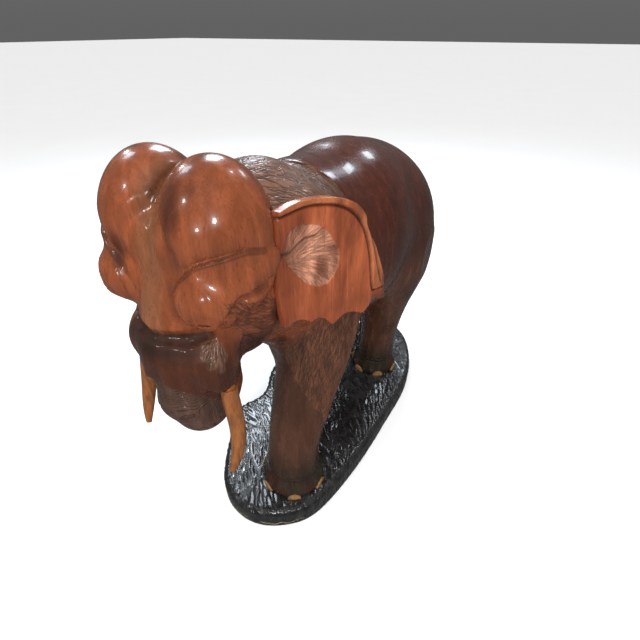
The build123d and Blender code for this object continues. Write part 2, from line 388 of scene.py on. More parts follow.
def brow_drop(side):
    """How far the surface lies back below the sharp edge of the brow."""
    nearest = np.full(len(side), 1e9, np.float32)
    drop = np.zeros(len(side), np.float32)
    for a, b in zip(BROW_LINE, BROW_LINE[1:]):
        share, off, run = nearest_on(side, a, b)
        distance = np.linalg.norm(off, axis=1)
        across = np.cross(run, CHEEK_FACING)
        below = off @ (across / np.linalg.norm(across)).astype(np.float32)
        depth = BROW_DEPTH * (a[3] + (b[3] - a[3]) * share) * step(below, -1.7, 1.7)
        depth *= np.exp(-np.abs(below) / BROW_FALL) * fade(distance, 16, 26)
        closer = distance < nearest
        nearest = np.where(closer, distance, nearest)
        drop = np.where(closer, depth, drop)
    return drop


def head(p):
    """The head with its brow and cheek creases, valleys and eyelids."""
    side = both_sides(p)
    shape = head_block(p)
    shape = carve(shape, limb(side, VALLEY_CUT, 4.0), 14.0)
    shape = carve(shape, limb(side, MEDIAN_CUT, 2.0), 5.0)
    shape = join(shape, limb(side, CHEEK, 14.0), 9.0) + brow_drop(side)
    shape = carve(shape, limb(side, CHEEK_CUT, 3.0), 5.0)
    shape = carve(shape, limb(side, JAW_CUT, 3.0), 5.0)
    lid = ellipsoid(side, EYE + np.array((0.0, -0.5, 0.0)), (12.0, 9.5, 9.5))
    shape = join(shape, lid, 5.0)
    return carve(shape, ellipsoid(side, EYE + np.array((4.5, -6.0, -0.5)), (5.5, 7.0, 1.5)), 1.5)


def ear_middle(y, z):
    """X of the left ear's middle surface at a side-view point."""
    t = (y + 127.5) / 97.5
    return 112.4 + 29.5 * t - 1.9 * t * t + 0.052 * (500.0 - z)


def ear_outline(sag):
    """Closed outline of the ear seen from the side, with its scalloped lower edge."""
    outline = spline_through(EAR_CREST, 6)
    for start, end in zip(np.array(EAR_SCALLOPS[:-1], float), np.array(EAR_SCALLOPS[1:], float)):
        for index in range(8):
            t = index / 8
            lift = 4.0 * sag * t * (1.0 - t)
            outline.append(start + (end - start) * t + np.array((0.0, lift)))
    return np.array(outline + spline_through(EAR_FRONT, 4))


EAR_OUTLINE = ear_outline(7.0)


def outline_distance(u, v, outline):
    """Signed distance in a plane to a closed outline, negative inside."""
    nearest = np.full(len(u), 1e9, np.float32)
    inside = np.zeros(len(u), bool)
    for (ax, ay), (bx, by) in zip(outline, np.roll(outline, -1, axis=0)):
        ex, ey = bx - ax, by - ay
        wx, wy = u - ax, v - ay
        share = np.clip((wx * ex + wy * ey) / (ex * ex + ey * ey + 1e-9), 0.0, 1.0)
        nearest = np.minimum(nearest, (wx - ex * share) ** 2 + (wy - ey * share) ** 2)
        if abs(ey) > 1e-9:
            crosses = (ay > v) != (by > v)
            inside ^= crosses & (u < ex * (v - ay) / ey + ax)
    return np.where(inside, -1.0, 1.0) * np.sqrt(nearest)


def ear_seat(p):
    """Distance to the room that one ear takes on the side of the head and shoulder."""
    side = both_sides(p)
    depth = side[:, 0] - ear_middle(side[:, 1], side[:, 2])
    result = np.abs(depth - 12.0) - (12.0 + EAR_HALF + 0.3)
    near = (np.abs(side[:, 1] + 126.0) < 110.0) & (np.abs(side[:, 2] - 498.0) < 110.0)
    flat = np.full(len(p), 60.0, np.float32)
    flat[near] = outline_distance(side[near, 1], side[near, 2], EAR_OUTLINE)
    return np.maximum(result, flat - 0.3)


def body_shape(p):
    """The whole carved block, without its surface cuts."""
    side = both_sides(p)
    shape = ellipsoid(p, *BARREL)
    shape = join(shape, ellipsoid(p, *RUMP), 25.0)
    shape = join(shape, ellipsoid(p, *CHEST), 30.0)
    shape = join(shape, ellipsoid(p, *HUMP), 14.0)
    shape = join(shape, ellipsoid(side, *SHOULDER), 24.0)
    for name in LEGS:
        shape = join(shape, leg(p, name), 26.0 if name.endswith("fore") else 44.0)
    shape = join(shape, head(p), 7.0)
    shape = join(shape, limb(p, TAIL, 3.0), 4.0)
    shape = np.maximum(shape, -ear_seat(p))
    return np.maximum(shape, SOLE - p[:, 2])


# --- From distances to meshes ---

def in_batches(shape, points, size=200_000):
    """The shape's distances at many points, a batch at a time."""
    return np.concatenate([shape(points[start:start + size]) for start in range(0, len(points), size)])


def sample(shape, low, high, voxel, block=8):
    """Distances on a regular grid. A block far from the surface keeps the value at its middle."""
    span = voxel * block
    blocks = np.ceil((high - low) / span).astype(int)
    index = np.stack(np.meshgrid(*[np.arange(n) for n in blocks], indexing="ij"), -1).reshape(-1, 3)
    middles = (low + (index + 0.5) * span).astype(np.float32)
    coarse = in_batches(shape, middles)
    grid = np.repeat(np.repeat(np.repeat(coarse.reshape(blocks), block, 0), block, 1), block, 2)
    cell = np.stack(np.meshgrid(*[np.arange(block)] * 3, indexing="ij"), -1).reshape(-1, 3)
    near = index[np.abs(coarse) < 1.3 * span]
    lattice_points = (near[:, None, :] * block + cell[None, :, :]).reshape(-1, 3)
    values = in_batches(shape, (low + lattice_points * voxel).astype(np.float32))
    grid[lattice_points[:, 0], lattice_points[:, 1], lattice_points[:, 2]] = values
    return grid.astype(np.float32)


def surface(shape, low, high, voxel):
    """Points and triangles of the shape's surface inside a box."""
    margin = 3 * voxel
    start = np.asarray(low, float) - margin
    grid = sample(shape, start, np.asarray(high, float) + margin, voxel)
    volume = openvdb.FloatGrid(float(voxel * 4))
    volume.copyFromArray(np.clip(grid, -voxel * 4, voxel * 4))
    points, quads = volume.convertToQuads(0.0)
    points = points.astype(np.float64) * voxel + start
    quads = quads.astype(np.int64)
    triangles = np.vstack([quads[:, [0, 1, 2]], quads[:, [0, 2, 3]]])
    return points, triangles


def refine(points, triangles, wanted):
    """Splits each edge of the wanted triangles in two, and their neighbours to match."""
    edges = np.sort(triangles[:, [0, 1, 1, 2, 2, 0]].reshape(-1, 2), axis=1)
    keys, first, number = np.unique(
        edges[:, 0] * len(points) + edges[:, 1], return_index=True, return_inverse=True
    )
    number = number.reshape(-1, 3)
    marked = np.zeros(len(keys), bool)
    marked[number[wanted].ravel()] = True
    middle = np.full(len(keys), -1, np.int64)
    middle[marked] = len(points) + np.arange(marked.sum())
    ends = edges[first[marked]]
    points = np.vstack([points, (points[ends[:, 0]] + points[ends[:, 1]]) / 2])
    split = middle[number]
    count = (split >= 0).sum(1)
    pieces = [triangles[count == 0]]
    whole = count == 3
    a, b, c = triangles[whole].T
    ab, bc, ca = split[whole].T
    for corners in ((a, ab, ca), (ab, b, bc), (ca, bc, c), (ab, bc, ca)):
        pieces.append(np.stack(corners, 1))
    for turn in range(3):
        corner = np.roll(triangles, -turn, axis=1)
        cut = np.roll(split, -turn, axis=1)
        one = (count == 1) & (cut[:, 0] >= 0)
        a, b, c = corner[one].T
        m = cut[one, 0]
        pieces += [np.stack((a, m, c), 1), np.stack((m, b, c), 1)]
        two = (count == 2) & (cut[:, 2] < 0)
        a, b, c = corner[two].T
        m, n = cut[two, 0], cut[two, 1]
        pieces += [np.stack((a, m, c), 1), np.stack((m, n, c), 1), np.stack((m, b, n), 1)]
    return points, np.vstack(pieces)


def corners(points, triangles):
    """Places of the triangles' first, second and third corners."""
    return [points[triangles[:, corner]] for corner in range(3)]


def point_normals(points, triangles):
    """Smooth unit normals at the points."""
    a, b, c = corners(points, triangles)
    faces = np.cross(b - a, c - a)
    normals = np.zeros_like(points)
    for corner in range(3):
        for axis in range(3):
            normals[:, axis] += np.bincount(triangles[:, corner], faces[:, axis], len(points))
    return normals / (np.linalg.norm(normals, axis=1, keepdims=True) + 1e-12)


def settle(shape, points, triangles):
    """The points moved along their normals onto the shape's surface."""
    miss = in_batches(shape, points.astype(np.float32))
    return points - point_normals(points, triangles) * np.clip(miss, -2.0, 2.0)[:, None]


def outward(points, triangles):
    """Triangles turned, if they have to be, so that their normals point outward."""
    a, b, c = corners(points, triangles)
    volume = (a * np.cross(b, c)).sum()
    return triangles if volume > 0 else triangles[:, ::-1]


def sculpted(shape, low, high, voxel, *tests):
    """Points and triangles of a shape, split finer once for each test where that test says so."""
    points, triangles = surface(shape, low, high, voxel)
    triangles = outward(points, triangles)
    points = settle(shape, points, triangles)
    for wanted in tests:
        middles = points[triangles].mean(1).astype(np.float32)
        points, triangles = refine(points, triangles, wanted(middles))
        points = settle(shape, points, triangles)
    return points, triangles


def make_object(name, points, triangles, attributes):
    """A smooth-shaded mesh object with its per-point attributes."""
    mesh = bpy.data.meshes.new(name)
    mesh.vertices.add(len(points))
    mesh.vertices.foreach_set("co", (points * MM).astype(np.float32).ravel())
    mesh.loops.add(len(triangles) * 3)
    mesh.loops.foreach_set("vertex_index", triangles.astype(np.int32).ravel())
    mesh.polygons.add(len(triangles))
    mesh.polygons.foreach_set("loop_start", np.arange(0, len(triangles) * 3, 3, dtype=np.int32))
    mesh.update(calc_edges=True)
    mesh.validate()
    mesh.shade_smooth()
    for label, values in attributes.items():
        kind = "FLOAT" if values.ndim == 1 else "FLOAT_COLOR"
        attribute = mesh.attributes.new(label, kind, "POINT")
        if kind == "FLOAT":
            attribute.data.foreach_set("value", values.astype(np.float32))
        else:
            full = np.ones((len(values), 4), np.float32)
            full[:, :3] = values
            attribute.data.foreach_set("color", full.ravel())
    made = bpy.data.objects.new(name, mesh)
    bpy.context.scene.collection.objects.link(made)
    return made


# --- Carving strokes ---

CELLS = 4096    # half the number of cells along each axis of the stroke grid


def tangent(directions, normals):
    """Directions laid into the surface, as unit vectors."""
    flat = directions - normals * (directions * normals).sum(1, keepdims=True)
    return flat / (np.linalg.norm(flat, axis=1, keepdims=True) + 1e-9)


def turned(directions, normals, angle):
    """Tangent directions turned about the normals, by radians."""
    across = np.cross(normals, directions)
    return directions * np.cos(angle)[:, None] + across * np.sin(angle)[:, None]


def spread(points, chance, seed):
    """Indices of a repeatable random pick of points, each with its own chance."""
    draw = np.random.default_rng(seed).random(len(points))
    return np.nonzero(draw < chance)[0]


def rounded_groove(across):
    """Depth of a hair stroke at a share of its half width, from 0 to 1."""
    return np.clip(1.0 - across * across, 0.0, 1.0)


def slanted_chip(across):
    """Depth of a gouge cut: one flat slanting face with a steep wall at its deep side."""
    return np.clip(0.5 - 0.5 * across, 0.0, 1.0) * step(across, -1, -0.75)


def cell_keys(cells):
    """One whole number for each cell of the grid that strokes are looked up in."""
    x, y, z = (cells + CELLS).T
    return (x * 2 * CELLS + y) * 2 * CELLS + z


def stroke_depth(points, centres, directions, normals, lengths, widths, bends, profile=rounded_groove):
    """How deep tapered strokes cut at each point, from 0 to 1."""
    reach = float(lengths.max()) / 2 + float(widths.max())
    depth = np.zeros(len(points), np.float32)
    keys = cell_keys(np.floor(points / reach).astype(np.int64))
    order = np.argsort(keys, kind="stable")
    groups, starts = np.unique(keys[order], return_index=True)
    ends = np.append(starts[1:], len(order))
    home_keys = cell_keys(np.floor(centres / reach).astype(np.int64))
    home_order = np.argsort(home_keys, kind="stable")
    home_sorted = home_keys[home_order]
    across = np.cross(normals, directions)
    near_by = (-1, 0, 1)
    shifts = [(dx * 2 * CELLS + dy) * 2 * CELLS + dz for dx in near_by for dy in near_by for dz in near_by]
    for key, start, end in zip(groups, starts, ends):
        near = []
        for shift in shifts:
            low = np.searchsorted(home_sorted, key + shift, "left")
            high = np.searchsorted(home_sorted, key + shift, "right")
            if high > low:
                near.append(home_order[low:high])
        if not near:
            continue
        near = np.concatenate(near)
        mine = order[start:end]
        off = points[mine][:, None, :] - centres[near][None, :, :]
        along = (off * directions[near]).sum(2)
        side = (off * across[near]).sum(2) - bends[near] * along * along
        rise = np.abs((off * normals[near]).sum(2))
        taper = np.clip(1.0 - (2.0 * along / lengths[near]) ** 2, 0.0, 1.0)
        width = widths[near] * (0.35 + 0.65 * taper)
        groove = profile(side / width) * np.sqrt(taper)
        groove = np.where(rise < lengths[near] / 2, groove, 0.0)
        depth[mine] = groove.max(1)
    return depth


def point_areas(points, triangles):
    """Surface area that belongs to each point."""
    a, b, c = corners(points, triangles)
    third = np.linalg.norm(np.cross(b - a, c - a), axis=1) / 6.0
    return sum(np.bincount(triangles[:, corner], third, len(points)) for corner in range(3))


def hair_strokes(points, normals, areas, flow, share, spacing, length, width, seed, wander=0.25):
    """Depth of a coat of carved hair that follows a flow, where the share is above 0."""
    chance = np.where(share > 0.3, areas / (spacing * length * 0.5), 0.0)
    picked = spread(points, chance, seed)
    random = np.random.default_rng(seed + 1)
    centres = points[picked]
    lines = tangent(flow[picked], normals[picked])
    lines = turned(lines, normals[picked], random.normal(0.0, wander, len(picked)))
    lengths = length * random.uniform(0.6, 1.3, len(picked))
    widths = width * random.uniform(0.7, 1.25, len(picked))
    bends = random.normal(0.0, 0.01, len(picked))
    depth = np.zeros(len(points), np.float32)
    inside = share > 0.02
    depth[inside] = stroke_depth(points[inside], centres, lines, normals[picked], lengths, widths, bends)
    return depth * np.clip(share, 0.0, 1.0)


# --- Where the body is carved ---

def near_line(p, stations):
    """Distance to a line through the stations, and the length along it."""
    best = np.full(len(p), 1e9, np.float32)
    run_at = np.zeros(len(p), np.float32)
    total = 0.0
    for a, b in zip(stations, stations[1:]):
        share, off, run = nearest_on(p, a, b)
        length = float(np.linalg.norm(run))
        distance = np.linalg.norm(off, axis=1)
        closer = distance < best
        best = np.where(closer, distance, best)
        run_at = np.where(closer, total + share * length, run_at)
        total += length
    return best, run_at


# Stations, width and strength of the painted shade in the brow and cheek creases.
PAINTED_CREASE_SHADES = ((CHEEK_CUT[:5], 5.0, 0.95), (CHEEK_CUT[4:], 3.0, 0.6), (BROW_LINE, 1.8, 0.55))


def painted_crease_shade(p):
    """Painted shade under the brow and in the cheek's crease."""
    side = both_sides(p)
    total = np.zeros(len(p), np.float32)
    for stations, width, share in PAINTED_CREASE_SHADES:
        distance, _ = near_line(side, stations)
        inner = distance - 0.5 * np.mean([station[3] for station in stations])
        total = np.maximum(total, share * fade(inner, 0, width))
    return total


def neck_edge(p):
    """Y of the line where the haired neck meets the polished barrel."""
    return np.interp(np.abs(p[:, 0]), *np.transpose(NECK_EDGE)).astype(np.float32)


def neck_rise(p):
    """Height above the slanting lower edge of the haired neck, give or take a constant."""
    return p[:, 2] - 0.5 * (p[:, 1] + 12.0)


def brow_near(p):
    """1 close to the sharp edge of the brow."""
    distance, _ = near_line(both_sides(p), BROW_LINE)
    return fade(distance, 4, 6)


def crease_near(p):
    """1 round the head's creases, where the mesh has to follow sharp edges."""
    side = both_sides(p)
    total = np.zeros(len(p), np.float32)
    for stations in (BROW_LINE, CHEEK_CUT, JAW_CUT):
        distance, _ = near_line(side, stations)
        total = np.maximum(total, fade(distance, 10, 14))
    return total


def head_share(p):
    """1 on the head, 0 on the neck."""
    return step(-p[:, 1], 186, 192)


def neck_share(p):
    """1 on the haired neck between the head and the polished barrel."""
    edge = neck_edge(p) + 3.0 * noise(p, 14, 11)
    front = fade(p[:, 1], edge - 2, edge + 2)
    seat = step(neck_rise(p), 500, 510)
    return front * seat * (1.0 - head_share(p))


def throat_share(p):
    """1 on the haired throat, below the cheek and behind the tusk sheath."""
    _, y, z = p.T
    behind = step(y + 0.5 * (z - 440), -246, -236)
    below = fade(z + 0.4 * (y + 225), 492, 502)
    return behind * below * fade(y, -168, -150) * step(z, 366, 380)


def sheath_share(p):
    """1 in the small haired patch on each tusk sheath."""
    x, y, z = (both_sides(p) - np.array(SHEATH_PATCH, np.float32)).T
    distance = np.sqrt((y * 1.2) ** 2 + (z * 0.75) ** 2 + x ** 2 * 1.2)
    return fade(distance + 3 * noise(p, 7, 12), 11, 16)


def fore_leg_share(p):
    """1 on the haired upper part of the forelegs, ending in a point."""
    total = np.zeros(len(p), np.float32)
    for name in ("left_fore", "right_fore"):
        sign = 1.0 if name.startswith("left") else -1.0
        x, y, radius = leg_axis(name, p[:, 2])
        angle = np.arctan2(p[:, 1] - y, (p[:, 0] - x) * sign)
        turn = np.abs(angle - math.radians(8.0))
        floor = 184.0 + 62.0 * turn + 4.0 * noise(p, 10, 13)
        wide = fade(turn, 2.2, 2.5)
        near = fade(np.hypot(p[:, 0] - x, p[:, 1] - y) - radius, 12, 36)
        share = step(p[:, 2], floor - 1.5, floor + 1.5) * wide * near
        total = np.maximum(total, share * fade(p[:, 2], 405, 425))
    return total


def flow_of(p, shares):
    """Direction that the carved hair runs in each zone."""
    mirror = np.where(p[:, :1] < 0.0, (-1.0, 1.0, 1.0), 1.0)
    swirl = noise(p, 42, 14)[:, None]
    neck = mirror * (0.75, 0.65, -0.35) + swirl * (0.2, -0.7, 0.2)
    throat = mirror * (0.15, 0.9, -0.45) + swirl * (0.0, 0.1, 0.45)
    sheath = mirror * (-0.35, -0.2, -1.0)
    fore = mirror * (0.1, -0.42, -1.0) + swirl * (0.1, 0.25, 0.0)
    flow = np.zeros_like(p)
    for share, direction in zip(shares, (neck, throat, sheath, fore)):
        flow += share[:, None] * direction
    return flow + 1e-4


def trunk_below(p):
    """How far below the sheaths' lip each point of the trunk lies."""
    height, front, fall = TRUNK_LIP
    return height - fall * (p[:, 1] - front) + 2.5 * noise(p, 30, 24) - p[:, 2]


def trunk_rings(p):
    """Depth of the rings carved round the trunk, where they are, and the drop below the lip."""
    distance, run = near_line(p, TRUNK)
    along = run + 5.0 * noise(p, 18, 21) + 2.0 * noise(p, 7, 22)
    wave = np.abs(((along / RING_PITCH) % 1.0) - 0.5) * 2.0
    below = trunk_below(p)
    place = step(run, 110, 120) * (distance < 46.0) * step(below, -1, 2)
    place *= step(380 - run, 0, 20)
    patchy = step(noise(p, (9, 16, 9), 23), -0.9, 0.1)
    lip = step(below, 0, 3) * fade(below, 10, 46)
    return step(wave, 0.45, 1) * place * patchy, place, lip * place


def barrel_edge(p):
    """Drop of the haired neck below the polished barrel, deepest at the edge between them."""
    off = p[:, 1] - neck_edge(p)
    seat = step(neck_rise(p), 488, 512) * (1.0 - head_share(p))
    return seat * fade(off, -2, 2.5) * fade(-off, 14, 44)


def ankle_crease(p):
    """Depth of the two creases round each ankle, above the foot's bell."""
    total = np.zeros(len(p), np.float32)
    wave = 2.5 * noise(p, 20, 31)
    for name in LEGS:
        near = away_from_foot(p, name) < 75.0
        for rise, size, share in ANKLE_CREASES:
            off = p[:, 2] - SOLE - rise - wave
            total = np.maximum(total, near * np.exp(-(off / size) ** 2) * share)
    return total


def eye_wrinkles(p):
    """Depth of the fine lines that fan out from the eye."""
    side = both_sides(p)
    off = side - EYE.astype(np.float32)
    distance = np.linalg.norm(off, axis=1)
    angle = np.arctan2(off[:, 2], 0.8 * off[:, 0] + 0.6 * off[:, 1])
    wave = np.abs(((angle * 4.5 + distance * 0.06) % 1.0) - 0.5) * 2.0
    return step(wave, 0.4, 1) * step(distance, 8, 10) * fade(distance, 14, 20)


def head_seam(p):
    """1 in the dark stippled seam where the head meets the neck and ears."""
    off = p[:, 1] + 191.0 + 2.0 * noise(p, 8, 41)
    return np.exp(-(off / 4.0) ** 2) * step(p[:, 2], 440, 460)


# --- Colour of the wood ---

def linear(red, green, blue):
    """A display colour, 0 to 255, as linear light."""
    return np.array([((value / 255 + 0.055) / 1.055) ** 2.4 for value in (red, green, blue)], np.float32)


def mix(tones, colour, share):
    """Each point's colour moved towards one colour by a share."""
    return tones + (colour - tones) * np.clip(share, 0.0, 1.0)[:, None]


RED_BROWN = linear(130, 68, 40)
DARK_BROWN = linear(58, 31, 23)
RUMP_BROWN = linear(74, 33, 21)
STRIP_BROWN = linear(120, 80, 54)
LEG_BROWN = linear(74, 46, 33)
LEG_HAIR = linear(122, 74, 48)
FOOT_BROWN = linear(44, 35, 26)
TRUNK_BROWN = linear(84, 60, 49)
SHEATH_BROWN = linear(74, 39, 25)
EAR_ORANGE = linear(168, 86, 50)
EAR_PALE = linear(186, 112, 70)
EAR_DARK = linear(118, 56, 32)
EAR_GREY = linear(220, 160, 130)
NECK_GREY = linear(114, 82, 64)
# Near-black of the wood's pores and carved grooves, also used as painted shade in the creases and under
# the cheeks.
PORE_GROOVE_AND_SHADE_DARK = linear(30, 20, 16)
STAIN_BLACK = linear(22, 21, 22)
STAIN_GREY = linear(42, 41, 41)
STAIN_DEEP = linear(18, 17, 18)
BARE_WOOD = linear(176, 160, 120)
EYE_BLACK = linear(22, 14, 11)
EYE_BROWN = linear(58, 32, 20)
TUSK_PALE = linear(146, 88, 42)
TUSK_DEEP = linear(104, 58, 26)
NAIL_PALE = linear(168, 126, 80)
NAIL_DEEP = linear(128, 90, 56)
NAIL_DIRT = linear(70, 58, 44)
DOWEL_PALE = linear(200, 170, 130)
DOWEL_DEEP = linear(170, 138, 98)


def under_cheek_shade_and_dull(p):
    """1 on the strip under the cheeks' crease, which is painted dark as shade and made duller."""
    x, y, z = p.T
    high = step(z, 438, 456) * fade(z, 468, 472)
    return high * fade(np.abs(x), 40, 62) * step(-y, 240, 250)


def body_tone(p):
    """Colour of the body's wood at each point, before grain and carving, with painted shade on the flanks,
    on the jaw and under the cheeks.
    """
    x, y, z = p.T
    wide = np.abs(x)
    front = step(-y, 200, 240)
    legs = fade(z, 320, 420) * fade(-y, 198, 208)
    jaw = front * step(y + 0.35 * (z - 420), -254, -246) * fade(z, 440, 462)
    patches = noise(p, (34, 34, 60), 51) + 0.5 * noise(p, (13, 13, 26), 52)
    tone = np.tile(RED_BROWN, (len(p), 1))
    tone = mix(tone, RUMP_BROWN, step(y, -150, -60))
    # Painted shade: the barrel's and rump's flanks darken towards their outer sides.
    tone = mix(tone, DARK_BROWN, 0.9 * step(wide, 92, 138) * step(y, -40, 60))
    tone = mix(tone, LEG_BROWN, legs)
    tone = mix(tone, FOOT_BROWN, fade(z, 80, 150))
    tone = mix(tone, STRIP_BROWN, 0.6 * fade(wide, 6, 20) * front * step(z, 430, 470))
    tone = mix(tone, SHEATH_BROWN, front * fade(z, 440, 480))
    tone = mix(tone, TRUNK_BROWN, front * step(trunk_below(p), -2, 2) * (wide < 46.0))
    tone = mix(tone, NECK_GREY, 0.8 * neck_share(p))
    # Painted shade on the jaw, which sits behind the tusk sheaths and under the cheeks.
    tone = mix(tone, DARK_BROWN, 0.8 * jaw)
    tone = mix(tone, DARK_BROWN, 0.85 * step(patches, 0.2, 0.95))
    # Painted shade on the strip under the cheeks' crease.
    tone = mix(tone, PORE_GROOVE_AND_SHADE_DARK, 0.8 * under_cheek_shade_and_dull(p))
    tone = mix(tone, NECK_GREY, 0.6 * sheath_share(p))
    tone = mix(tone, LEG_HAIR, 0.5 * fore_leg_share(p))
    return tone * (1.0 + 0.16 * noise(p, (6, 6, 70), 53) + 0.1 * noise(p, 60, 54))[:, None]


# --- Building the pieces ---

def hair_shares(p):
    """Share of each haired zone: neck, throat, tusk sheaths and forelegs."""
    return neck_share(p), throat_share(p), sheath_share(p), fore_leg_share(p)


def body_detail(p):
    """Whether the body's mesh has to be fine enough for carving at each point."""
    edges = (head_seam(p), barrel_edge(p), ankle_crease(p), crease_near(p))
    return body_finest(p) | (np.max(edges, axis=0) > 0.05)


def body_finest(p):
    """Whether the body's mesh has to be fine enough for single strokes."""
    return np.max((*hair_shares(p), trunk_rings(p)[1], eye_wrinkles(p), brow_near(p)), axis=0) > 0.05


def elephant():
    """The carved body, from its shape, with hair, rings and creases cut into it."""
    low, high = node_box("body")
    points, triangles = sculpted(body_shape, low, high, BODY_VOXEL, body_detail, body_finest)
    normals = point_normals(points, triangles)
    p = points.astype(np.float32)
    shares = hair_shares(p)
    hair = np.max(shares, axis=0)
    areas = point_areas(points, triangles)
    flow = flow_of(p, shares)
    fine = shares[0]
    coarse = np.max(shares[1:], axis=0)
    depth = np.maximum(
        hair_strokes(points, normals, areas, flow, fine, 2.5, 17.0, 0.95, 61),
        hair_strokes(points, normals, areas, flow, coarse, 1.7, 17.0, 0.75, 63),
    )
    rings, _, lip = trunk_rings(p)
    eye = eye_wrinkles(p)
    seam = head_seam(p)
    shade = painted_crease_shade(p)
    ankle = ankle_crease(p)
    edge = barrel_edge(p)
    rough = step(depth, 0.15, 0.9)
    stipple = step(noise(p, 4, 62), 0, 0.6)
    drop = HAIR_CUT * depth + RING_CUT * rings + TRUNK_DROP * lip + EYE_CUT * eye
    drop += ANKLE_CUT * ankle + NECK_DROP * edge
    drop += seam * (0.8 + 1.2 * stipple)
    points = points - normals * drop[:, None]
    points = np.clip(points, low, high)
    # Darker along the carved hair, rings, eye lines, seam, ankle creases and barrel edge; the crease term
    # is painted shade under the brow and in the cheeks' creases.
    darks = (0.74 * rough, 0.7 * rings, 0.35 * eye, 0.9 * seam, shade, 0.5 * ankle, 0.35 * edge)
    dull = np.maximum(hair, 2.0 * under_cheek_shade_and_dull(p))
    attributes = {"tone": body_tone(p), "cut": np.max(darks, axis=0), "hair": dull}
    return make_object("elephant_body", points, triangles, attributes)


def flat_stations(points):
    """Side-view (y, z) points as stations in one upright plane."""
    return [(0.0, y, z) for y, z in points]


def flattened(p):
    """The points moved sideways into one upright plane."""
    return p * np.array((0.0, 1.0, 1.0), np.float32)


EAR_FOLD_CURVE = spline_through(EAR_FOLD, 4)
EAR_PANEL = np.array([(-235.0, 566.0), *EAR_FOLD_CURVE, (-20.0, 428.0), (-20.0, 390.0), (-235.0, 390.0)])
EAR_SPLIT_STATIONS = flat_stations(spline_through(EAR_SPLIT, 3))


def ear_fold(p):
    """How far each point lies onto the folded rim, and the groove that splits the rim."""
    onto = outline_distance(p[:, 1], p[:, 2], EAR_PANEL)
    away, run = near_line(flattened(p), EAR_SPLIT_STATIONS)
    groove = np.exp(-(away / 1.5) ** 2) * step(run, 0, 12)
    return onto, groove


def ear_shape(p):
    """Left ear: a curved blade with a folded rim and hollowed scallops."""
    y, z = p[:, 1], p[:, 2]
    edge = outline_distance(y, z, EAR_OUTLINE)
    depth = p[:, 0] - ear_middle(y, z)
    onto, groove = ear_fold(p)
    rim = 2.3 * step(onto, 0.2, 3.2)
    inner_line = 2.0 * np.exp(-((onto - 0.2) / 1.5) ** 2)
    dish = 2.2 * step(-onto, 0, 26) * step(y, -205, -150)
    wave = 0.9 * noise(p, (60, 30, 60), 71)
    lower = fade(z - 0.05 * (y + 120), 414, 446)
    ripple = lower * (1.8 + 2.2 * step(y, -110, -60)) * np.cos((y + 38.0) / 51.0 * 2.0 * math.pi)
    face = rim - inner_line - 2.0 * groove - dish + wave + 0.8 * ripple
    blade = np.maximum(depth - EAR_HALF - face + 0.5, -(depth + EAR_HALF - 2.0 - ripple))
    rounded = join(-blade, -edge, 2.6)
    return -rounded


EAR_PATCH_OUTLINE = np.array(spline_through(EAR_PATCH, 4))


def ear_outer(p):
    """1 on the ear's outer face."""
    middle = ear_middle(p[:, 1], p[:, 2])
    return step(p[:, 0], middle - 1, middle + 1)


def ear_hair(p):
    """Share and flow of the hair patch that fans out from the ear's hole."""
    y, z = p[:, 1] - EAR_HOLE[0], p[:, 2] - EAR_HOLE[1]
    inside = outline_distance(p[:, 1], p[:, 2], EAR_PATCH_OUTLINE) + 1.5 * noise(p, 5, 72)
    share = fade(inside, -1, 1)
    reach = np.hypot(y, z)
    angle = np.arctan2(z + 6.0, y + 4.0) - 0.006 * reach + 0.12
    flow = np.stack([np.zeros(len(p)), np.cos(angle), np.sin(angle)], 1)
    return share * ear_outer(p), flow


def ear_parting(p):
    """1 along the deep parting line that runs from the ear's hole across the hair patch."""
    distance, run = near_line(flattened(p), flat_stations(EAR_PARTING))
    width = 2.6 - 1.2 * run / 60.0
    return np.exp(-(distance / width) ** 2) * ear_outer(p)


def ear_tone(p):
    """Colour of the ear's wood at each point."""
    _, y, z = p.T
    patches = noise(p, (20, 26, 50), 74) + 0.4 * noise(p, (8, 8, 20), 75)
    edges = np.maximum(0.85 * fade(y, -210, -170), 0.5 * fade(z, 430, 500))
    tone = np.tile(EAR_ORANGE, (len(p), 1))
    tone = mix(tone, EAR_PALE, 0.8 * step(ear_fold(p)[0], 0, 3))
    tone = mix(tone, EAR_GREY, 0.7 * ear_hair(p)[0])
    tone = mix(tone, EAR_DARK, 0.8 * step(patches, 0.1, 0.85))
    tone = mix(tone, EAR_DARK, edges)
    return tone * (1.0 + 0.05 * noise(p, (9, 9, 60), 76) + 0.12 * noise(p, (12, 12, 16), 78))[:, None]


def ear_detail(p):
    """Whether the ear's mesh has to be fine enough for its hair and its folded rim."""
    return (ear_hair(p)[0] > 0.05) | ((ear_fold(p)[0] > -4.0) & (ear_outer(p) > 0.5))


